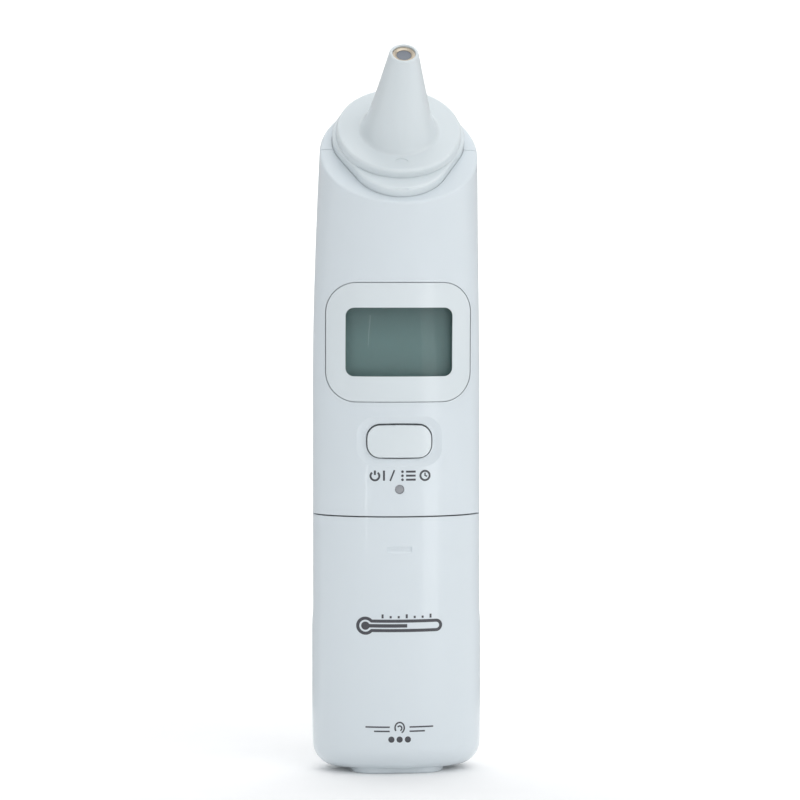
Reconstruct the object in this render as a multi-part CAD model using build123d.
from build123d import *
import math
import os

# Digital ear thermometer. Millimetres. +Z runs up the handle, the display faces -Y and +X is to
# the right of a person who looks at the display. The origin is the middle of the foot pad's
# underside, on which the thermometer stands.
#
# The slanted head has a frame of its own, the head frame: x across, y up along the face and z out
# of the face. The probe frame is the same frame moved up the face onto the probe axis.

# ---------------------------------------------------------------- driving dimensions: outer form
BASE_Z = 0.8                  # underside of the battery cover, above the foot pad's face
FORM_TOP_Z = 150.0            # the lofted form runs past the slanted head and is cut back
HALF_WIDTH = 17.9             # half width of the handle
COVER_FLARE = 0.22            # how much further the cup of the cover stands out on each side
COVER_STEP_Z = (30.5, 35.5)   # the flare fades out between these heights
BASE_TAPER = 0.45             # how much each side draws in at the very bottom
BASE_TAPER_Z = 12.0
BASE_ROUND = 5.2
FRONT_DEPTH = 10.4            # from the widest line to the front face
REAR_DEPTH_LOW = 11.0         # from the widest line to the back, at the bottom
REAR_DEPTH_HIGH = 11.9        # and at the top of the handle
WALL = 1.8                    # moulded wall of the casings

# ---------------------------------------------------------------- driving dimensions: head
RIM_Y = -7.0                  # centre of the slanted head face
RIM_Z = 132.6
LEAN_START_Z = 90.0           # the widest line starts to lean forward here
TAPER_START_Z = 85.0          # the handle starts to narrow here
TAPER_POWER = 1.5
RIM_HALF_WIDTH = 16.6
NECK_START_Z = 84.0           # the front starts to curve out towards the head here
NECK_TIP_Z = 121.05
NECK_REACH = 8.15             # how far the front curves out by NECK_TIP_Z
BACK_TURN_Z = 103.0           # the back starts to round over here
BACK_TOP_Z = 143.9
BACK_TURN = 7.6               # how far the back comes forward by BACK_TOP_Z
BACK_POWER = 2.2
RIM_ROUND = 0.6

# ---------------------------------------------------------------- driving dimensions: splits
COVER_TOP_Z = 55.3            # line between the upper casing and the battery cover, in front
CUP_TOP_Z = 34.1              # line between the rear shell and the cup of the cover, behind
COVER_GAP = 0.28
CUP_GAP = 0.2
SIDE_GAP = 0.12
SEAM_GAP = 0.16

# ---------------------------------------------------------------- driving dimensions: display
BEZEL_SIZE = (30.6, 25.0)
BEZEL_Z = 92.1
BEZEL_ROUND = 6.2
BEZEL_THICK = 0.8
BEZEL_GAP = 0.16
WINDOW_OPENING = (22.6, 14.5)
WINDOW_Z = 92.15
WINDOW_ROUND = 1.8
WINDOW_SIZE = (26.4, 20.4)
WINDOW_CORNER = 2.4
WINDOW_THICK = 0.98
WINDOW_SEAT_Y = -2.0          # the opening behind the bezel runs right through the wall
LCD_SIZE = (25.0, 17.4)
LCD_FRONT_Y = -5.1
LCD_THICK = 1.6
FRAME_HALF_WIDTH = 13.8
FRAME_RAIL_HALF_WIDTH = 12.0
FRAME_RAIL = 1.4
FRAME_OPENING = (21.0, 10.0)
STRIP_SIZE = (22.0, 1.8)      # rubber contact strips between the LCD and the board
STRIP_OFFSET = 7.4

# ---------------------------------------------------------------- driving dimensions: button and LED
KEY_Z = 71.2
KEY_SIZE = (13.5, 6.95)
KEY_BULGE = (0.35, 0.2)       # how far its sides and its top and bottom are bowed out
KEY_ROUND = 2.7
KEY_GAP = 0.28
KEY_DROP = 0.07               # the button hangs a little low in its opening
KEY_PROUD = 0.05
KEY_EDGE = 0.5
KEY_BACK_Y = -7.4
KEY_FLANGE = (16.2, 9.2, 3.0) # width, height and corner of the flange that keeps it in
KEY_FLANGE_BACK_Y = -6.7
KEY_STEM_RADIUS = 1.8
DISH_SIZE = (19.6, 12.0)      # the shallow scoop round the button
DISH_ROUND = 4.6
DISH_SLOPE = 2.7              # from the scoop's edge to its full depth
DISH_DEPTH = 0.5
DISH_CREST = 0.12             # the scoop's surface lies this far outside the casing beyond its edge
DISH_MARGIN = 1.0
DISH_BACK_Y = -5.5
DISH_STEPS = (12, 16)         # sections up each half and points across each half
LED_Z = 61.1
LED_RADIUS = 0.93
LED_RECESS = 0.1
LED_DOME_RADIUS = 2.6
LED_BACK_Y = -3.0
LED_FLANGE = (1.6, -8.4, -7.7)
LED_CHIP = (2.0, 0.9, 1.3)

# ---------------------------------------------------------------- driving dimensions: back
TRIGGER_Z = 109.5
TRIGGER_SIZE = (12.4, 19.0)
TRIGGER_GAP = 0.3
TRIGGER_FRONT_Y = 6.9
TRIGGER_FLANGE = (15.0, 22.0, 6.5)
TRIGGER_FLANGE_FRONT_Y = 6.2
TRIGGER_EDGE = 0.8
TRIGGER_STEM_RADIUS = 2.4
LABEL_SIZE = (18.4, 25.4)
LABEL_SEAT_SIZE = (19.0, 26.0)
LABEL_ROUND = 1.7
LABEL_SEAT_ROUND = 2.0
LABEL_Z = 78.0
LABEL_THICK = 0.2
LABEL_RECESS = 0.1
MID_BACK_Y = 4.0              # cuts made from behind start here

# ---------------------------------------------------------------- driving dimensions: collar
COLLAR_HEIGHT = 2.25
COLLAR_SINK = 0.6             # how deep the collar sits in the face
COLLAR_GROOVE = 0.08
COLLAR_CENTRE = (0, 2.5)      # of the round rear part of its outline, in the head frame
COLLAR_RADII = (13.95, 12.6)
COLLAR_TURN = 22.4            # degrees of the ellipse's parameter below its widest line
COLLAR_HIP = (8.8, -9.6)
COLLAR_HIP_SLOPE = (0.87, -0.5)
COLLAR_FOOT = -14.5
COLLAR_EDGE = 0.55
LATCH_SIZE = (2.7, 1.1, 0.95)
LATCH_SET_BACK = 0.06

# ---------------------------------------------------------------- driving dimensions: probe
PROBE_OFFSET = 1.8            # probe axis above the centre of the head face, along the face
DISC_RADIUS = 13.1
DISC_TOP = 4.3                # above the head face
DISC_EDGE = 0.6
CONE_HEIGHT = 20.45
CONE_BASE_RADIUS = 8.6
CONE_FLANK = ((7.3, 0.15), (6.85, 2.6), (5.0, 9.9), (4.05, 15.4))  # what draws its flank in
TIP_RADIUS = 2.95
TIP_EDGE = 0.38
TIP_BEVEL = 0.15              # round the mouth of the bore
SPIGOT_RADIUS = 8.2
SPIGOT_CLEAR = 0.1
INDEX_SIZE = (1.4, 0.9)       # shallow oval dimple on the disc, in line with the latch
INDEX_PLACE = -10.2
INDEX_DEPTH = 0.12
TUBE_RADIUS = 2.3
TUBE_BORE = 1.55
TUBE_LIP_RADIUS = 1.95        # the tube's mouth is bevelled inside this radius
TUBE_RECESS = 0.4
TUBE_BEVEL = 0.2
PORT_RECESS = 0.7
PORT_THICK = 0.5
NOZZLE_HOLLOW = (5.0, 5.0, 17.5)  # radius, height of the straight part, height where the taper ends

# ---------------------------------------------------------------- driving dimensions: sensor
GASKET_RADII = (9.0, 10.4)
GASKET_THICK = 0.7
BLOCK_TOP = 1.5
BLOCK_NECK_RADIUS = 4.8
BLOCK_FLANGE_RADIUS = 9.6
BLOCK_FLANGE_BOTTOM = -4.0
BLOCK_SHOULDER = (6.3, 5.6, -5.4)
BLOCK_BOTTOM = -9.6
BLOCK_BORES = (4.75, 4.25)    # round the sensor's header and round its can
CAN_TOP = -1.0
CAN_RADIUS = 4.15
CAN_WALL = 0.25
CAN_HOLE = 1.4
CAN_BOTTOM = -5.2
HEADER_RADII = (4.7, 3.85)
HEADER_STEP = 0.8
HEADER_BOTTOM = -5.9
SENSOR_BOARD_BOTTOM = -10.6
SENSOR_BOARD_THICK = 1.0
SENSOR_BOARD_RADIUS = 5.5
LEAD_RADIUS = 0.22
LEAD_CIRCLE = 2.54
LEAD_ANGLES = (45, 135, 225, 315)
LEAD_PROUD = 0.5
FLEX_THICK = 0.3
FLEX_WIDTH = 5.0
FLEX_DROP = 1.8
FLEX_ELBOW = (2.6, 119.6)
FLEX_LAND = (0.9, -2.2)       # where it meets the board, from the board's top edge

# ---------------------------------------------------------------- driving dimensions: boards and parts
BOARD_FRONT_Y = -1.7
BOARD_THICK = 1.6
BOARD_REAR_Y = BOARD_FRONT_Y + BOARD_THICK
BOARD_Z = (58.0, 115.0)
BOARD_HALF_WIDTH = 14.0
BOARD_NECK_HALF_WIDTH = 8.2   # between the lower case screws
BOARD_NECK_TOP_Z = 62.2
SWITCH_HALF = 3.0
SWITCH_WELL_RADIUS = 1.6
PLUNGER_RADIUS = 1.5
PLUNGER_FRONT_Y = -5.9
SWITCH_FRONT_Y = -4.8
REAR_SWITCH_Y = 3.4
REAR_PLUNGER_Y = 5.0
SWITCH_WELL = (1.6, 1.8)      # depth of the well in the front and in the rear switch
PLUNGER_SINK = 0.7
CHIP_PLACES = {               # x, z, width, height on the board and how far it stands up
    "processor": (0, 88.0, 10.0, 10.0, 1.2),
    "amplifier_chip": (3.5, 99.0, 5.0, 6.2, 1.5),
    "memory_chip": (9.0, 71.5, 4.0, 5.0, 1.4),
    "crystal": (-9.3, 86.5, 2.4, 7.6, 2.2),
}
CAPACITOR_SIZE = (2.0, 1.25, 1.0)
CAPACITOR_PLACES = ((-9.5, 93.0), (-9.5, 96.5), (9.0, 83.5), (9.0, 88.0), (-6.5, 101.5), (6.0, 64.8))
BUZZER_Z = 71.0
BUZZER_RADIUS = 6.0
BUZZER_HEIGHT = 3.4
BUZZER_HOLE = (0.9, 1.0)

# ---------------------------------------------------------------- driving dimensions: batteries
CELL_RADIUS = 5.25            # two AAA cells
CELL_LENGTH = 44.5
CELL_EDGE = 0.5
CELL_NUB = (1.9, 0.9)         # radius and height of the positive nub
CELL_X = 5.6
CELL_Y = 0.3
CAVITY_HALF_WIDTH = 16.2      # straight-sided inside of the battery cover, so that it slides off
CAVITY_FRONT = 8.6
CAVITY_REAR = 9.2
CAVITY_FLOOR_Z = 2.6
CAVITY_ROUND = 3.7
LIP_Z = (50.0, 57.4)          # the lip inside the cover's tongue that reaches under the casing
LIP_BASE_TOP_Z = 54.6
LIP_HALF_WIDTH = 7.4
LIP_CLEAR = (0.4, 0.3)
LIP_WALL = 1.4
THUMB_Z = 48.3
THUMB_SIZE = (5.2, 1.5)
THUMB_DEPTH = 0.3
CHASSIS_BOTTOM_Z = 3.0
CHASSIS_WALL = 1.6
CHASSIS_HALF_WIDTH = 12.8
CHASSIS_Y = (-3.5, 6.9)
CHASSIS_FOOT = (13.8, 6.2, 6.7)
CHASSIS_FOOT_HEIGHT = 3.2
CELL_ROOM = 0.25
CELL_SLOT_HALF = 5.5
CONTACT_THICK = 0.3
CONTACT_HALF = (4.0, 3.6)
CONTACT_TAB = (1.25, 2.5)     # half width and how far it overlaps the board
TAB_SLOT = (1.5, -0.3, 0.6)
BRIDGE_HALF = (9.2, 3.0)
SPRING_HEIGHT = 2.1
SPRING_WIRE = 0.24
SPRING_PITCH = 0.72
SPRING_RADIUS = 3.1
CELL_TOP_Z = CHASSIS_BOTTOM_Z + CHASSIS_WALL + CONTACT_THICK + SPRING_HEIGHT + CELL_LENGTH
LUG_X = (8.4, 14.2)
LUG_RISE = 2.8
CLEAR = 0.05                  # a sliding or push fit, on each side
FOOT_SIZE = (20.0, 13.5)
FOOT_CORNER = 4.95
FOOT_EDGE = 0.4
FOOT_TOP_Z = 1.5

# ---------------------------------------------------------------- driving dimensions: fixings
LOWER_SCREW = (11.5, 58.6)    # x and z of the case screws
UPPER_SCREW = (11.4, 118.6)
BOARD_SCREWS = ((11.2, 79.0), (11.2, 106.6))
LOWER_POST_RADIUS = 2.9
UPPER_POST_RADIUS = 2.7
BOARD_POST_RADIUS = 2.2
LUG_FRONT_Y = -1.2            # the battery holder's lugs lie between the screw posts
UPPER_SEAT_Y = -3.2
SCREW_SEAT = 2.0              # how far a case screw's head sits behind the joint
CASE_SCREW_RADIUS = 1.0
CASE_HEAD = (1.9, 1.5)        # radius and height
CASE_SCREW_BITE = 5.0         # how far the screws run into the front posts
BOARD_SCREW_RADIUS = 0.9
BOARD_HEAD = (1.7, 1.1)
BOARD_SCREW_BITE = 4.0
BORE_EXTRA = 0.2              # a threaded bore runs on past the screw's tip
PASS_CLEAR = 0.15             # round a shank that passes through
HEAD_CLEAR = 0.2
CROSS_HALF = (1.1, 0.2)       # half length and half width of a cross recess
CROSS_DEPTH = 0.5
PROBE_SCREW_ANGLES = (90, 210, 330)
PROBE_SCREW_CIRCLE = 6.6
PROBE_SCREW_RADIUS = 0.8
PROBE_HEAD = (1.5, 1.0)
PROBE_HEAD_WELL = 1.6
PROBE_SCREW_LENGTH = 6.2
PROBE_BORE_TOP = 3.2

FAR = 60.0                    # longer than anything it cuts


# ---------------------------------------------------------------- small helpers
def block(x0, x1, y0, y1, z0, z1):
    size = (x1 - x0, y1 - y0, z1 - z0)
    middle = ((x0 + x1) / 2, (y0 + y1) / 2, (z0 + z1) / 2)
    return Pos(*middle) * Box(*size)


def rod_y(x, z, radius, y0, y1):
    """A round bar along Y."""
    return Pos(x, (y0 + y1) / 2, z) * Rot(90, 0, 0) * Cylinder(radius, y1 - y0)


def rod_z(x, y, radius, z0, z1):
    """A round bar along Z."""
    return Pos(x, y, (z0 + z1) / 2) * Cylinder(radius, z1 - z0)


def front_plane(y, z):
    """A plane that faces the front: its x is X and its y is Z."""
    return Plane(origin=(0, y, z), x_dir=(1, 0, 0), z_dir=(0, -1, 0))


def pill_y(size, corner, z, y0, y1):
    """A rounded rectangle, x by z, run along Y."""
    return extrude(front_plane(y0, z) * RectangleRounded(size[0], size[1], corner), -(y1 - y0))


def turned(points):
    """A solid of revolution about Z from a closed polygon of (radius, height) points."""
    outline = make_face(Polyline(*[(r, 0, h) for r, h in points], close=True))
    return revolve(outline, Axis.Z)


def egg(z, half_width, y_wide, front, rear):
    """A horizontal section: a front and a rear half ellipse that share the widest line."""
    front_arc = EllipticalCenterArc((0, y_wide), half_width, front, 180, arc_size=180)
    rear_arc = EllipticalCenterArc((0, y_wide), half_width, rear, 0, arc_size=180)
    return Pos(0, 0, z) * make_face([front_arc.edge(), rear_arc.edge()])


def egg_prism(half_width, front, rear, z0, z1):
    return extrude(egg(z0, half_width, 0, front, rear), z1 - z0)


def eased(value):
    """0 up to 0, 1 from 1 on, and a soft step between."""
    share = min(max(value, 0.0), 1.0)
    return share * share * (3 - 2 * share)


def edges_at(shape, axis, level):
    """The edges whose middle lies at one level along an axis."""
    return shape.edges().filter_by(lambda edge: abs((edge @ 0.5).dot(axis.direction) - level) < 0.01)


def both_sides(shape):
    return [shape, mirror(shape, Plane.YZ)]


def carve(solid, cuts):
    for cut in cuts:
        solid = solid - cut
    return solid


# ---------------------------------------------------------------- the outer form
def half_width_at(z):
    up = max(0.0, z - TAPER_START_Z) / (RIM_Z - TAPER_START_Z)
    return HALF_WIDTH - (HALF_WIDTH - RIM_HALF_WIDTH) * up ** TAPER_POWER


def wide_y_at(z):
    up = max(0.0, z - LEAN_START_Z) / (RIM_Z - LEAN_START_Z)
    return RIM_Y * up ** 2


def front_y_at(z):
    up = max(0.0, z - NECK_START_Z) / (NECK_TIP_Z - NECK_START_Z)
    return -FRONT_DEPTH - NECK_REACH * up ** 2


def rear_y_at(z):
    straight = REAR_DEPTH_LOW + (REAR_DEPTH_HIGH - REAR_DEPTH_LOW) * min(z / BACK_TURN_Z, 1.0)
    up = max(0.0, z - BACK_TURN_Z) / (BACK_TOP_Z - BACK_TURN_Z)
    return straight - BACK_TURN * up ** BACK_POWER


def cup_half_width_at(z):
    """The cup of the cover stands out a little, with a soft step towards its top line."""
    fade = eased((z - COVER_STEP_Z[0]) / (COVER_STEP_Z[1] - COVER_STEP_Z[0]))
    low = max(0.0, 1 - z / BASE_TAPER_Z)
    return HALF_WIDTH + COVER_FLARE * (1 - fade) - BASE_TAPER * low ** 2


def form_section(z, inset, half_width):
    wide = wide_y_at(z)
    front = wide - front_y_at(z) - inset
    rear = rear_y_at(z) - wide - inset
    return egg(z, half_width(z) - inset, wide, front, rear)


LEVEL_PITCH = 5               # evenly spaced sections keep the lofted flanks straight
UPPER_LEVELS = range(30, int(FORM_TOP_Z) + 1, LEVEL_PITCH)
CUP_LEVELS = (BASE_Z, 4, 8, 12, 16, 20, 24, 27, 30, 32, 34, 36, 38)

head_plane = Plane(origin=(0, RIM_Y, RIM_Z), x_dir=(1, 0, 0), z_dir=(0, -1, 1))
probe_origin = head_plane.from_local_coords(Vector(0, PROBE_OFFSET, 0))
probe_plane = Plane(origin=probe_origin, x_dir=(1, 0, 0), z_dir=(0, -1, 1))


def on_face(shape):
    return head_plane.location * shape


def on_probe(shape):
    return probe_plane.location * shape


def above_head(height):
    """Everything above a plane parallel to the slanted head face."""
    return on_face(Pos(0, 0, height + FAR / 2) * Box(2 * FAR, 3 * FAR, FAR))


def upper_form(inset):
    return loft([form_section(z, inset, half_width_at) for z in UPPER_LEVELS])


def skin(outside, inside):
    """A thin layer of the outer form between two depths under its surface."""
    return upper_form(outside) - upper_form(inside)


def front_side(gap):
    """Everything in front of the surface that parts the front and rear shells."""
    low = -10
    top = FORM_TOP_Z + 10
    reach = RIM_Y * ((top - LEAN_START_Z) / (RIM_Z - LEAN_START_Z)) ** 2
    bend = (LEAN_START_Z + top) / 2
    outline = [
        Line((-gap, low), (-gap, LEAN_START_Z)),
        Bezier((-gap, LEAN_START_Z), (-gap, bend), (reach - gap, top)),
        Line((reach - gap, top), (-FAR, top)),
        Line((-FAR, top), (-FAR, low)),
        Line((-FAR, low), (-gap, low)),
    ]
    face = make_face([part.edge() for part in outline])
    return extrude(Plane.YZ * face, FAR / 2, both=True)


def make_outer():
    form = upper_form(0) - above_head(0)
    rim = form.edges().filter_by(lambda edge: abs(head_plane.to_local_coords(edge @ 0.5).Z) < 0.01)
    return fillet(rim, RIM_ROUND)


outer = make_outer()
cavity = upper_form(WALL) - above_head(-WALL)


# ---------------------------------------------------------------- openings in the casings
def collar_outline(grow):
    """The shield shape of the collar on the head face: round behind, with two straight sides."""
    radii = (COLLAR_RADII[0] + grow, COLLAR_RADII[1] + grow)
    sweep_angle = 180 + 2 * COLLAR_TURN
    round_part = EllipticalCenterArc(COLLAR_CENTRE, *radii, -COLLAR_TURN, arc_size=sweep_angle)
    hip_x = COLLAR_HIP[0] + COLLAR_HIP_SLOPE[0] * grow
    hip_y = COLLAR_HIP[1] + COLLAR_HIP_SLOPE[1] * grow
    edges = [
        round_part,
        Line(round_part @ 1, (-hip_x, hip_y)),
        ThreePointArc((-hip_x, hip_y), (0, COLLAR_FOOT - grow), (hip_x, hip_y)),
        Line((hip_x, hip_y), round_part @ 0),
    ]
    return make_face([edge.edge() for edge in edges])


def head_opening():
    """The hole for the probe's spigot, and the shallow seat for the collar."""
    hole = on_probe(Cylinder(SPIGOT_RADIUS + SPIGOT_CLEAR, 4 * WALL))
    seat = extrude(collar_outline(COLLAR_GROOVE), COLLAR_SINK + 1)
    return [hole, on_face(Pos(0, 0, -COLLAR_SINK) * seat)]


def key_outline(grow):
    """The button's outline: a rectangle with bowed sides and round corners."""
    half_x = KEY_SIZE[0] / 2 + grow
    half_z = KEY_SIZE[1] / 2 + grow
    x = half_x - KEY_BULGE[0]
    z = half_z - KEY_BULGE[1]
    edges = [
        ThreePointArc((-x, z), (0, half_z), (x, z)),
        ThreePointArc((x, z), (half_x, 0), (x, -z)),
        ThreePointArc((x, -z), (0, -half_z), (-x, -z)),
        ThreePointArc((-x, -z), (-half_x, 0), (-x, z)),
    ]
    face = make_face([edge.edge() for edge in edges])
    return fillet(face.vertices(), KEY_ROUND + grow)


def dish_depth(x, z):
    """How deep the scoop lies under the casing's front at a place seen from the button's middle."""
    across = abs(x) - DISH_SIZE[0] / 2 + DISH_ROUND
    up = abs(z) - DISH_SIZE[1] / 2 + DISH_ROUND
    inside = DISH_ROUND - math.hypot(max(across, 0), max(up, 0)) - min(max(across, up), 0)
    return (DISH_DEPTH + DISH_CREST) * eased(inside / DISH_SLOPE) - DISH_CREST


def dish_section(z, half_x):
    """A section through what is left behind the scoop."""
    steps = DISH_STEPS[1]
    points = []
    for step in range(-steps, steps + 1):
        x = half_x * step / steps
        surface = -FRONT_DEPTH * math.sqrt(1 - (x / HALF_WIDTH) ** 2)
        points.append((x, surface + dish_depth(x, z)))
    back = DISH_BACK_Y + DISH_MARGIN
    sides = Polyline(points[-1], (half_x, back), (-half_x, back), points[0])
    return Pos(0, 0, KEY_Z + z) * make_face([Spline(*points).edge()] + list(sides.edges()))


def key_dish():
    """What is scooped out of the casing round the button."""
    half_x = DISH_SIZE[0] / 2 + DISH_MARGIN
    half_z = DISH_SIZE[1] / 2 + DISH_MARGIN
    steps = DISH_STEPS[0]
    levels = [half_z * step / steps for step in range(-steps, steps + 1)]
    floor = loft([dish_section(z, half_x) for z in levels])
    x = half_x - DISH_MARGIN / 4
    z = half_z - DISH_MARGIN / 4
    return block(-x, x, -FAR, DISH_BACK_Y, KEY_Z - z, KEY_Z + z) - floor


def trigger_outline(grow, y0, y1):
    """The upright oval of the measurement button, run along Y."""
    width = TRIGGER_SIZE[0] + 2 * grow
    height = TRIGGER_SIZE[1] + 2 * grow
    return pill_y((width, height), width / 2 - CLEAR, TRIGGER_Z, y0, y1)


# ---------------------------------------------------------------- casings
def screw_post(x, z, radius, y0, y1):
    return rod_y(x, z, radius, y0, y1) & cavity


def below_cover_line(y1):
    return block(-FAR, FAR, -FAR, y1, 0, COVER_TOP_Z + COVER_GAP / 2)


def make_front_shell():
    shell = (outer & front_side(SEAM_GAP / 2)) - cavity - below_cover_line(FAR)
    cuts = head_opening()
    for x, z in BOARD_SCREWS:
        shell += both_sides(screw_post(x, z, BOARD_POST_RADIUS, -FAR, BOARD_FRONT_Y))
        bore_y = BOARD_FRONT_Y - BOARD_SCREW_BITE - BORE_EXTRA
        cuts += both_sides(rod_y(x, z, BOARD_SCREW_RADIUS + CLEAR, bore_y, 0))
    shell += both_sides(screw_post(*LOWER_SCREW, LOWER_POST_RADIUS, -FAR, LUG_FRONT_Y))
    shell += both_sides(screw_post(*UPPER_SCREW, UPPER_POST_RADIUS, -FAR, UPPER_SEAT_Y))
    for (x, z), joint_y in ((LOWER_SCREW, LUG_FRONT_Y), (UPPER_SCREW, UPPER_SEAT_Y)):
        bore_y = joint_y - CASE_SCREW_BITE - BORE_EXTRA
        cuts += both_sides(rod_y(x, z, CASE_SCREW_RADIUS + CLEAR, bore_y, 0))
    bezel_room = (BEZEL_SIZE[0] + 2 * BEZEL_GAP, BEZEL_SIZE[1] + 2 * BEZEL_GAP)
    cuts += [
        key_dish(),
        extrude(front_plane(-FAR, KEY_Z + KEY_DROP) * key_outline(KEY_GAP), -FAR),
        rod_y(0, LED_Z, LED_RADIUS + CLEAR, -FAR, 0),
        pill_y(WINDOW_SIZE, WINDOW_CORNER, WINDOW_Z, -FAR, WINDOW_SEAT_Y),
        pill_y(bezel_room, BEZEL_ROUND + BEZEL_GAP, BEZEL_Z, -FAR, 0) - upper_form(BEZEL_THICK),
    ]
    return carve(shell, cuts)


def make_rear_shell():
    upper = block(-FAR, FAR, -FAR, FAR, CUP_TOP_Z + CUP_GAP / 2, FORM_TOP_Z + 10)
    shell = (outer & (upper - front_side(-SEAM_GAP / 2))) - cavity
    shell -= below_cover_line(SIDE_GAP / 2)
    shell -= trigger_outline(TRIGGER_GAP, MID_BACK_Y, FAR)
    label_seat = pill_y(LABEL_SEAT_SIZE, LABEL_SEAT_ROUND, LABEL_Z, MID_BACK_Y, FAR)
    shell -= label_seat - upper_form(LABEL_THICK + LABEL_RECESS)
    shell += both_sides(screw_post(*LOWER_SCREW, LOWER_POST_RADIUS, 0, FAR))
    shell += both_sides(screw_post(*UPPER_SCREW, UPPER_POST_RADIUS, UPPER_SEAT_Y, FAR))
    cuts = head_opening()
    for (x, z), joint_y in ((LOWER_SCREW, 0), (UPPER_SCREW, UPPER_SEAT_Y)):
        cuts += both_sides(rod_y(x, z, CASE_SCREW_RADIUS + PASS_CLEAR, joint_y - 1, FAR))
        cuts += both_sides(rod_y(x, z, CASE_HEAD[0] + HEAD_CLEAR, joint_y + SCREW_SEAT, FAR))
    return carve(shell, cuts)


def make_label():
    plate = pill_y(LABEL_SIZE, LABEL_ROUND, LABEL_Z, 0, FAR)
    return plate & skin(LABEL_RECESS, LABEL_THICK + LABEL_RECESS)


# ---------------------------------------------------------------- battery cover
def make_cover_blank():
    """The cup round the bottom of the handle and the tongue up its front, both still solid."""
    cup_form = loft([form_section(z, 0, cup_half_width_at) for z in CUP_LEVELS])
    cup_form = fillet(edges_at(cup_form, Axis.Z, BASE_Z), BASE_ROUND)
    cup = cup_form & block(-FAR, FAR, -FAR, FAR, 0, CUP_TOP_Z - CUP_GAP / 2)
    front = block(-FAR, FAR, -FAR, -SIDE_GAP / 2, 0, COVER_TOP_Z - COVER_GAP / 2)
    join_z = CUP_LEVELS[-2]
    tongue_low = cup_form & front & block(-FAR, FAR, -FAR, FAR, CUP_TOP_Z - 1, join_z)
    tongue_high = outer & front & block(-FAR, FAR, -FAR, FAR, join_z, FAR)
    return cup + tongue_low + tongue_high


def make_cover_lip():
    """The lip inside the tongue's top edge, with a thicker base that joins it to the tongue."""
    side, ahead = LIP_CLEAR
    half_width = CAVITY_HALF_WIDTH
    lip = egg_prism(half_width - side, CAVITY_FRONT - ahead, FAR, *LIP_Z)
    base = egg_prism(half_width + side, CAVITY_FRONT + side, FAR, LIP_Z[0], LIP_BASE_TOP_Z)
    inside = egg_prism(half_width - LIP_WALL, CAVITY_FRONT - LIP_WALL, FAR, LIP_Z[0] - 1, FAR)
    return ((lip + base) & block(-LIP_HALF_WIDTH, LIP_HALF_WIDTH, -FAR, 0, *LIP_Z)) - inside


def make_battery_cover():
    hollow = egg_prism(CAVITY_HALF_WIDTH, CAVITY_FRONT, CAVITY_REAR, CAVITY_FLOOR_Z, FAR)
    hollow = fillet(edges_at(hollow, Axis.Z, CAVITY_FLOOR_Z), CAVITY_ROUND)
    cover = (make_cover_blank() - hollow) + make_cover_lip()
    radius = (THUMB_SIZE[1] ** 2 / 4 + THUMB_DEPTH ** 2) / (2 * THUMB_DEPTH)
    groove_y = -FRONT_DEPTH + THUMB_DEPTH - radius
    thumb = Pos(0, groove_y, THUMB_Z) * Rot(0, 90, 0) * Cylinder(radius, THUMB_SIZE[0])
    seat_size = [side + 2 * CLEAR for side in FOOT_SIZE]
    foot_seat = extrude(RectangleRounded(*seat_size, FOOT_CORNER + CLEAR), FOOT_TOP_Z)
    return cover - thumb - foot_seat


def make_foot_pad():
    pad = extrude(RectangleRounded(*FOOT_SIZE, FOOT_CORNER), FOOT_TOP_Z)
    return fillet(edges_at(pad, Axis.Z, 0), FOOT_EDGE)


# ---------------------------------------------------------------- display
def make_bezel():
    panel = pill_y(BEZEL_SIZE, BEZEL_ROUND, BEZEL_Z, -FAR, 0) & skin(0, BEZEL_THICK)
    opening = pill_y(WINDOW_OPENING, WINDOW_ROUND, WINDOW_Z, -FAR, 0)
    return panel - opening


def make_window():
    size = [side - 2 * CLEAR for side in WINDOW_SIZE]
    pane = pill_y(size, WINDOW_CORNER - CLEAR, WINDOW_Z, -FAR, 0)
    return pane & skin(BEZEL_THICK, BEZEL_THICK + WINDOW_THICK)


def lcd_levels():
    return (WINDOW_Z - LCD_SIZE[1] / 2, WINDOW_Z + LCD_SIZE[1] / 2)


def make_lcd():
    half = LCD_SIZE[0] / 2
    return block(-half, half, LCD_FRONT_Y, LCD_FRONT_Y + LCD_THICK, *lcd_levels())


def strip_levels():
    return (WINDOW_Z - STRIP_OFFSET, WINDOW_Z + STRIP_OFFSET)


def make_strip(z, grow=0.0):
    half = STRIP_SIZE[0] / 2 + grow
    tall = STRIP_SIZE[1] / 2 + grow
    return block(-half, half, LCD_FRONT_Y + LCD_THICK, BOARD_FRONT_Y, z - tall, z + tall)


def make_lcd_frame():
    """A plate behind the LCD with a rail above and below it and slots for the contact strips."""
    back = LCD_FRONT_Y + LCD_THICK
    low, high = lcd_levels()
    wide = FRAME_HALF_WIDTH
    rail = FRAME_RAIL_HALF_WIDTH
    half_x = FRAME_OPENING[0] / 2
    half_z = FRAME_OPENING[1] / 2
    frame = block(-wide, wide, back, BOARD_FRONT_Y, low - FRAME_RAIL, high + FRAME_RAIL)
    frame += block(-rail, rail, LCD_FRONT_Y, BOARD_FRONT_Y, low - FRAME_RAIL, low)
    frame += block(-rail, rail, LCD_FRONT_Y, BOARD_FRONT_Y, high, high + FRAME_RAIL)
    frame -= block(-half_x, half_x, -FAR, 0, WINDOW_Z - half_z, WINDOW_Z + half_z)
    return frame - [make_strip(z, CLEAR) for z in strip_levels()]


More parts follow.
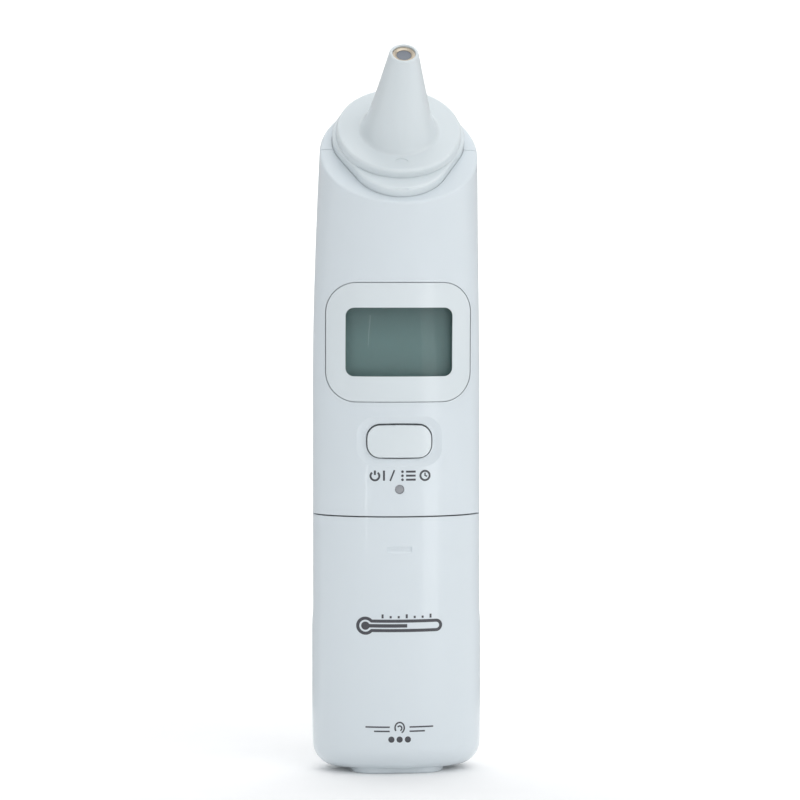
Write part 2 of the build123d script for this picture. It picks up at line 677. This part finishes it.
# ---------------------------------------------------------------- buttons, switches and LED
def make_key():
    front_y = -FRONT_DEPTH - KEY_PROUD
    cap = extrude(front_plane(front_y, KEY_Z) * key_outline(0), front_y - KEY_BACK_Y)
    cap = fillet(edges_at(cap, Axis.Y, front_y), KEY_EDGE)
    cap &= upper_form(0)
    flange = pill_y(KEY_FLANGE[:2], KEY_FLANGE[2], KEY_Z, KEY_BACK_Y, KEY_FLANGE_BACK_Y)
    stem = rod_y(0, KEY_Z, KEY_STEM_RADIUS, KEY_FLANGE_BACK_Y, PLUNGER_FRONT_Y)
    return cap + flange + stem


def switch_block(y0, y1, z):
    return block(-SWITCH_HALF, SWITCH_HALF, y0, y1, z - SWITCH_HALF, z + SWITCH_HALF)


def make_front_switch():
    well = rod_y(0, KEY_Z, SWITCH_WELL_RADIUS, SWITCH_FRONT_Y, SWITCH_FRONT_Y + SWITCH_WELL[0])
    return switch_block(SWITCH_FRONT_Y, BOARD_FRONT_Y, KEY_Z) - well


def make_front_plunger():
    return rod_y(0, KEY_Z, PLUNGER_RADIUS, PLUNGER_FRONT_Y, SWITCH_FRONT_Y + PLUNGER_SINK)


def make_rear_switch():
    well = rod_y(0, TRIGGER_Z, SWITCH_WELL_RADIUS, REAR_SWITCH_Y - SWITCH_WELL[1], REAR_SWITCH_Y)
    return switch_block(BOARD_REAR_Y, REAR_SWITCH_Y, TRIGGER_Z) - well


def make_rear_plunger():
    return rod_y(0, TRIGGER_Z, PLUNGER_RADIUS, REAR_SWITCH_Y - PLUNGER_SINK, REAR_PLUNGER_Y)


def make_trigger():
    cap = trigger_outline(0, TRIGGER_FRONT_Y, FAR) & upper_form(0)
    back_face = cap.faces().sort_by(Axis.Y)[-1]
    cap = fillet(back_face.edges(), TRIGGER_EDGE)
    size = TRIGGER_FLANGE[:2]
    flange = pill_y(size, TRIGGER_FLANGE[2], TRIGGER_Z, TRIGGER_FLANGE_FRONT_Y, TRIGGER_FRONT_Y)
    stem = rod_y(0, TRIGGER_Z, TRIGGER_STEM_RADIUS, REAR_PLUNGER_Y, TRIGGER_FLANGE_FRONT_Y)
    return cap + flange + stem


def make_led_lens():
    """A light guide with a domed front and a flange behind the casing's wall."""
    surface = -FRONT_DEPTH + LED_RECESS
    guide = rod_y(0, LED_Z, LED_RADIUS, surface, LED_BACK_Y)
    dome = Pos(0, surface + LED_DOME_RADIUS, LED_Z) * Sphere(LED_DOME_RADIUS)
    rest = block(-FAR, FAR, surface + LED_DOME_RADIUS, 0, LED_Z - FAR, LED_Z + FAR)
    radius, front, back = LED_FLANGE
    return (guide & (dome + rest)) + rod_y(0, LED_Z, radius, front, back)


def make_led_chip():
    half_x = LED_CHIP[0] / 2
    half_z = LED_CHIP[2] / 2
    return block(-half_x, half_x, BOARD_FRONT_Y - LED_CHIP[1], BOARD_FRONT_Y, LED_Z - half_z, LED_Z + half_z)


# ---------------------------------------------------------------- collar and probe
def make_collar():
    blank = extrude(collar_outline(0), COLLAR_SINK + COLLAR_HEIGHT)
    top = blank.faces().sort_by(Axis.Z)[-1].edges()
    blank = Pos(0, 0, -COLLAR_SINK) * fillet(top, COLLAR_EDGE)
    latch_y = COLLAR_FOOT + LATCH_SET_BACK + LATCH_SIZE[1] / 2
    latch_z = COLLAR_HEIGHT - LATCH_SET_BACK - LATCH_SIZE[2] / 2
    latch = Pos(0, latch_y, latch_z) * Box(*LATCH_SIZE)
    spigot = Pos(0, PROBE_OFFSET, 0) * Cylinder(SPIGOT_RADIUS + SPIGOT_CLEAR, FAR)
    groove = Pos(0, PROBE_OFFSET, GASKET_THICK / 2 - COLLAR_SINK) * Cylinder(GASKET_RADII[1], GASKET_THICK)
    return on_face(blank + latch - spigot - groove)


def make_gasket():
    ring = Cylinder(GASKET_RADII[1], GASKET_THICK) - Cylinder(GASKET_RADII[0], GASKET_THICK)
    return on_probe(Pos(0, 0, GASKET_THICK / 2 - COLLAR_SINK) * ring)


def make_nozzle_blank():
    """The disc flange and the tapered cone, which runs out softly onto the disc, still solid."""
    tip = DISC_TOP + CONE_HEIGHT
    pulls = [(radius, 0, DISC_TOP + height) for radius, height in CONE_FLANK]
    flank = Bezier((CONE_BASE_RADIUS, 0, DISC_TOP), *pulls, (TIP_RADIUS, 0, tip))
    below = Polyline(
        (TIP_RADIUS, 0, tip),
        (0, 0, tip),
        (0, 0, -WALL),
        (SPIGOT_RADIUS, 0, -WALL),
        (SPIGOT_RADIUS, 0, COLLAR_HEIGHT),
        (DISC_RADIUS, 0, COLLAR_HEIGHT),
        (DISC_RADIUS, 0, DISC_TOP),
        (CONE_BASE_RADIUS, 0, DISC_TOP),
    )
    solid = revolve(make_face([flank.edge()] + list(below.edges())), Axis.Z)
    solid = fillet(edges_at(solid, Axis.Z, tip), TIP_EDGE)
    disc_rim = edges_at(solid, Axis.Z, DISC_TOP).filter_by(lambda edge: (edge @ 0).X > DISC_RADIUS - 0.1)
    return fillet(disc_rim, DISC_EDGE)


def make_nozzle():
    """Hollow for the sensor block and its tube, with blind bores for three screws from behind."""
    tip = DISC_TOP + CONE_HEIGHT
    bore = TUBE_RADIUS + CLEAR
    wide, straight, taper = NOZZLE_HOLLOW
    hollow = [
        (0, -FAR),
        (wide, -FAR),
        (wide, straight),
        (bore, taper),
        (bore, tip - TIP_BEVEL),
        (bore + 2 * TIP_BEVEL, tip + TIP_BEVEL),
        (0, tip + TIP_BEVEL),
    ]
    solid = make_nozzle_blank() - turned(hollow)
    oval = extrude(Ellipse(*INDEX_SIZE).face(), FAR)
    solid -= Pos(0, INDEX_PLACE, DISC_TOP - INDEX_DEPTH) * oval
    bore_length = PROBE_BORE_TOP + WALL
    bore = Cylinder(PROBE_SCREW_RADIUS + CLEAR, bore_length)
    bore = Pos(PROBE_SCREW_CIRCLE, 0, bore_length / 2 - WALL) * bore
    solid -= [Rot(0, 0, angle) * bore for angle in PROBE_SCREW_ANGLES]
    return on_probe(solid)


# ---------------------------------------------------------------- sensor
def make_sensor_block():
    rim_radius, barrel_radius, shoulder = BLOCK_SHOULDER
    header_bore, can_bore = BLOCK_BORES
    tube_bore = TUBE_RADIUS + CLEAR
    outline = [
        (tube_bore, BLOCK_TOP),
        (BLOCK_NECK_RADIUS, BLOCK_TOP),
        (BLOCK_NECK_RADIUS, -WALL),
        (BLOCK_FLANGE_RADIUS, -WALL),
        (BLOCK_FLANGE_RADIUS, BLOCK_FLANGE_BOTTOM),
        (rim_radius, shoulder),
        (barrel_radius, shoulder),
        (barrel_radius, BLOCK_BOTTOM),
        (header_bore, BLOCK_BOTTOM),
        (header_bore, CAN_BOTTOM),
        (can_bore, CAN_BOTTOM),
        (can_bore, CAN_TOP),
        (tube_bore, CAN_TOP),
    ]
    solid = turned(outline)
    well_top = BLOCK_FLANGE_BOTTOM - FAR / 2
    for angle in PROBE_SCREW_ANGLES:
        place = Rot(0, 0, angle) * Pos(PROBE_SCREW_CIRCLE, 0, 0)
        solid -= place * Cylinder(PROBE_SCREW_RADIUS + CLEAR, FAR)
        solid -= place * Pos(0, 0, well_top) * Cylinder(PROBE_HEAD_WELL, FAR)
    return on_probe(solid)


def make_probe_screws():
    half = PROBE_SCREW_LENGTH / 2
    shank = Pos(0, 0, BLOCK_FLANGE_BOTTOM + half) * Cylinder(PROBE_SCREW_RADIUS, PROBE_SCREW_LENGTH)
    head = Pos(0, 0, BLOCK_FLANGE_BOTTOM - PROBE_HEAD[1] / 2) * Cylinder(*PROBE_HEAD)
    screw = Pos(PROBE_SCREW_CIRCLE, 0, 0) * (shank + head)
    screws = [Rot(0, 0, angle) * screw for angle in PROBE_SCREW_ANGLES]
    return on_probe(Compound([screw.solid() for screw in screws]))


def make_tube():
    """The gold-plated tube from the sensor to the tip, with a bevelled mouth."""
    top = DISC_TOP + CONE_HEIGHT - TUBE_RECESS
    outline = [
        (TUBE_BORE, CAN_TOP),
        (TUBE_RADIUS, CAN_TOP),
        (TUBE_RADIUS, top),
        (TUBE_LIP_RADIUS, top),
        (TUBE_BORE, top - TUBE_BEVEL),
    ]
    return on_probe(turned(outline))


def make_sensor_window():
    top = DISC_TOP + CONE_HEIGHT - PORT_RECESS
    return on_probe(Pos(0, 0, top - PORT_THICK / 2) * Cylinder(TUBE_BORE - CLEAR / 2, PORT_THICK))


def make_can():
    inner = CAN_RADIUS - CAN_WALL
    shell = [
        (CAN_HOLE, CAN_TOP),
        (CAN_RADIUS, CAN_TOP),
        (CAN_RADIUS, CAN_BOTTOM),
        (inner, CAN_BOTTOM),
        (inner, CAN_TOP - CAN_WALL),
        (CAN_HOLE, CAN_TOP - CAN_WALL),
    ]
    return on_probe(turned(shell))


def lead_places():
    """Where the sensor's leads stand, on a circle about the probe axis."""
    turns = [math.radians(angle) for angle in LEAD_ANGLES]
    return [(LEAD_CIRCLE * math.cos(turn), LEAD_CIRCLE * math.sin(turn)) for turn in turns]


def make_header():
    thick = CAN_BOTTOM - HEADER_BOTTOM
    header = Pos(0, 0, CAN_BOTTOM - thick / 2) * Cylinder(HEADER_RADII[0], thick)
    header += Pos(0, 0, CAN_BOTTOM + HEADER_STEP / 2) * Cylinder(HEADER_RADII[1], HEADER_STEP)
    return on_probe(header)


def make_leads():
    length = HEADER_BOTTOM - SENSOR_BOARD_BOTTOM + LEAD_PROUD
    lead = Pos(0, 0, HEADER_BOTTOM - length / 2) * Cylinder(LEAD_RADIUS, length)
    return on_probe(Compound([(Pos(x, y, 0) * lead).solid() for x, y in lead_places()]))


def make_sensor_board():
    middle = SENSOR_BOARD_BOTTOM + SENSOR_BOARD_THICK / 2
    board = Pos(0, 0, middle) * Cylinder(SENSOR_BOARD_RADIUS, SENSOR_BOARD_THICK)
    hole = Cylinder(LEAD_RADIUS + CLEAR, FAR)
    return on_probe(board - [Pos(x, y, 0) * hole for x, y in lead_places()])


def round_end(point, radius):
    return CenterArc(point, radius, 0, 360).edge()


def make_flex():
    """The flat strip from the middle of the sensor board down to the back of the main board."""
    half = FLEX_THICK / 2
    start = probe_plane.from_local_coords(Vector(0, 0, SENSOR_BOARD_BOTTOM - half))
    bend = probe_plane.from_local_coords(Vector(0, 0, SENSOR_BOARD_BOTTOM - FLEX_DROP))
    board_y = BOARD_REAR_Y + half
    path = [
        (start.Y, start.Z),
        (bend.Y, bend.Z),
        FLEX_ELBOW,
        (board_y, BOARD_Z[1] + FLEX_LAND[0]),
        (board_y, BOARD_Z[1] + FLEX_LAND[1]),
    ]
    links = [make_hull([round_end(a, half), round_end(b, half)]) for a, b in zip(path, path[1:])]
    outline = links[0]
    for link in links[1:]:
        outline += link
    return extrude(Plane.YZ * outline, FLEX_WIDTH / 2, both=True)


# ---------------------------------------------------------------- main board and what is on it
def make_board():
    low, high = BOARD_Z
    wide = BOARD_HALF_WIDTH
    neck = BOARD_NECK_HALF_WIDTH
    board = block(-wide, wide, BOARD_FRONT_Y, BOARD_REAR_Y, BOARD_NECK_TOP_Z, high)
    board += block(-neck, neck, BOARD_FRONT_Y, BOARD_REAR_Y, low, BOARD_NECK_TOP_Z)
    holes = []
    for x, z in BOARD_SCREWS:
        holes += both_sides(rod_y(x, z, BOARD_SCREW_RADIUS + PASS_CLEAR, -FAR, FAR))
    return board - holes


def on_board(x, z, width, tall, height):
    """A component on the rear of the board."""
    half_x = width / 2
    half_z = tall / 2
    return block(x - half_x, x + half_x, BOARD_REAR_Y, BOARD_REAR_Y + height, z - half_z, z + half_z)


def make_capacitors():
    return Compound([on_board(x, z, *CAPACITOR_SIZE).solid() for x, z in CAPACITOR_PLACES])


def make_buzzer():
    back = BOARD_REAR_Y + BUZZER_HEIGHT
    hole_radius, hole_depth = BUZZER_HOLE
    disc = rod_y(0, BUZZER_Z, BUZZER_RADIUS, BOARD_REAR_Y, back)
    return disc - rod_y(0, BUZZER_Z, hole_radius, back - hole_depth, FAR)


# ---------------------------------------------------------------- batteries and their holder
def make_bridge(grow=0.0):
    half_x = BRIDGE_HALF[0] + grow
    half_y = BRIDGE_HALF[1] + grow
    floor = CHASSIS_BOTTOM_Z + CHASSIS_WALL
    return block(-half_x, half_x, CELL_Y - half_y, CELL_Y + half_y, floor, floor + CONTACT_THICK + grow)


def make_chassis():
    """An upright tray for the two cells, which hangs from lugs held by the lower case screws."""
    top = CELL_TOP_Z + CONTACT_THICK
    floor = CHASSIS_BOTTOM_Z + CHASSIS_WALL
    foot_top = CHASSIS_BOTTOM_Z + CHASSIS_FOOT_HEIGHT
    side = CHASSIS_HALF_WIDTH
    egg_size = [size - LIP_CLEAR[0] for size in (CAVITY_HALF_WIDTH, CAVITY_FRONT, CAVITY_REAR)]
    outside = egg_prism(*egg_size, CHASSIS_BOTTOM_Z, top + CHASSIS_WALL)
    outside &= block(-side, side, *CHASSIS_Y, 0, FAR)
    narrow = egg_prism(*CHASSIS_FOOT, 0, foot_top)
    tray = outside & (narrow + block(-FAR, FAR, -FAR, FAR, foot_top, 2 * FAR))
    slot_half, slot_y0, slot_y1 = TAB_SLOT
    for x in (-CELL_X, CELL_X):
        tray -= rod_z(x, CELL_Y, CELL_RADIUS + CELL_ROOM, floor, top)
        tray -= block(x - CELL_SLOT_HALF, x + CELL_SLOT_HALF, -FAR, CELL_Y, floor, top)
        slot_y = (BOARD_REAR_Y + slot_y0, BOARD_REAR_Y + slot_y1)
        tray -= block(x - slot_half, x + slot_half, *slot_y, top - 1, FAR)
    tray -= make_bridge(CLEAR)
    lugs = both_sides(block(*LUG_X, LUG_FRONT_Y, 0, top, LOWER_SCREW[1] + LUG_RISE))
    holes = both_sides(rod_y(*LOWER_SCREW, CASE_SCREW_RADIUS + PASS_CLEAR, -FAR, FAR))
    return (tray + lugs) - holes


def make_cell(x, low, nub_up):
    nub_radius, nub_height = CELL_NUB
    body_length = CELL_LENGTH - nub_height
    body_low = low if nub_up else low + nub_height
    cell = rod_z(x, CELL_Y, CELL_RADIUS, body_low, body_low + body_length)
    cell = fillet(cell.edges(), CELL_EDGE)
    nub_low = low + body_length if nub_up else low
    return cell + rod_z(x, CELL_Y, nub_radius, nub_low, nub_low + nub_height)


def make_spring(x, low, high):
    height = high - low - 2 * SPRING_WIRE
    helix = Helix(pitch=SPRING_PITCH, height=height, radius=SPRING_RADIUS)
    coil = Pos(x, CELL_Y, low + SPRING_WIRE) * helix
    section = Plane(origin=coil @ 0, z_dir=coil % 0) * Circle(SPRING_WIRE)
    return sweep(section, path=coil)


def make_contact(x):
    """A plate under the top wall of the tray, with a tab up to the back of the board."""
    low = CELL_TOP_Z
    half_x, half_y = CONTACT_HALF
    tab_half, overlap = CONTACT_TAB
    tab_y = (BOARD_REAR_Y, BOARD_REAR_Y + CONTACT_THICK)
    plate = block(x - half_x, x + half_x, CELL_Y - half_y, CELL_Y + half_y, low, low + CONTACT_THICK)
    return plate + block(x - tab_half, x + tab_half, *tab_y, low, BOARD_Z[0] + overlap)


# ---------------------------------------------------------------- screws
def screw_y(x, z, seat_y, tip_y, radius, head):
    """A pan-head screw along Y, its head behind the seat, with a cross recess."""
    long, short = CROSS_HALF
    floor_y = seat_y + head[1] - CROSS_DEPTH
    shank = rod_y(x, z, radius, tip_y, seat_y)
    cap = rod_y(x, z, head[0], seat_y, seat_y + head[1])
    cross = block(x - long, x + long, floor_y, FAR, z - short, z + short)
    cross += block(x - short, x + short, floor_y, FAR, z - long, z + long)
    return (shank + cap) - cross


def make_case_screws():
    screws = []
    places = ((LOWER_SCREW, 0, LUG_FRONT_Y), (UPPER_SCREW, UPPER_SEAT_Y, UPPER_SEAT_Y))
    for (x, z), joint_y, front_y in places:
        tip_y = front_y - CASE_SCREW_BITE
        screw = screw_y(x, z, joint_y + SCREW_SEAT, tip_y, CASE_SCREW_RADIUS, CASE_HEAD)
        screws += both_sides(screw)
    return Compound([screw.solid() for screw in screws])


def make_board_screws():
    screws = []
    tip_y = BOARD_FRONT_Y - BOARD_SCREW_BITE
    for x, z in BOARD_SCREWS:
        screws += both_sides(screw_y(x, z, BOARD_REAR_Y, tip_y, BOARD_SCREW_RADIUS, BOARD_HEAD))
    return Compound([screw.solid() for screw in screws])


# ---------------------------------------------------------------- write every piece
contact_z = CHASSIS_BOTTOM_Z + CHASSIS_WALL + CONTACT_THICK
raised_z = contact_z + SPRING_HEIGHT

pieces = {
    "front_shell": make_front_shell(),
    "rear_shell": make_rear_shell(),
    "rating_label": make_label(),
    "battery_cover": make_battery_cover(),
    "foot_pad": make_foot_pad(),
    "display_bezel": make_bezel(),
    "display_window": make_window(),
    "lcd_glass": make_lcd(),
    "lcd_frame": make_lcd_frame(),
    "zebra_strip_lower": make_strip(strip_levels()[0]),
    "zebra_strip_upper": make_strip(strip_levels()[1]),
    "on_button": make_key(),
    "front_switch_base": make_front_switch(),
    "front_switch_plunger": make_front_plunger(),
    "measure_button": make_trigger(),
    "rear_switch_base": make_rear_switch(),
    "rear_switch_plunger": make_rear_plunger(),
    "led_lens": make_led_lens(),
    "led_chip": make_led_chip(),
    "probe_collar": make_collar(),
    "collar_gasket": make_gasket(),
    "probe_nozzle": make_nozzle(),
    "sensor_block": make_sensor_block(),
    "probe_screws": make_probe_screws(),
    "waveguide_tube": make_tube(),
    "sensor_window": make_sensor_window(),
    "thermopile_can": make_can(),
    "thermopile_header": make_header(),
    "thermopile_leads": make_leads(),
    "sensor_board": make_sensor_board(),
    "sensor_flex": make_flex(),
    "main_board": make_board(),
    "board_capacitors": make_capacitors(),
    "buzzer": make_buzzer(),
    "battery_chassis": make_chassis(),
    "battery_cell_left": make_cell(-CELL_X, raised_z, True),
    "battery_cell_right": make_cell(CELL_X, contact_z, False),
    "cell_spring_left": make_spring(-CELL_X, contact_z, raised_z),
    "cell_spring_right": make_spring(CELL_X, contact_z + CELL_LENGTH, CELL_TOP_Z),
    "contact_plate_left": make_contact(-CELL_X),
    "contact_plate_right": make_contact(CELL_X),
    "bridge_contact": make_bridge(),
    "case_screws": make_case_screws(),
    "board_screws": make_board_screws(),
}
for chip_name, place in CHIP_PLACES.items():
    pieces[chip_name] = on_board(*place)

os.makedirs("parts", exist_ok=True)
for name, piece in pieces.items():
    export_step(piece, f"parts/{name}.step")
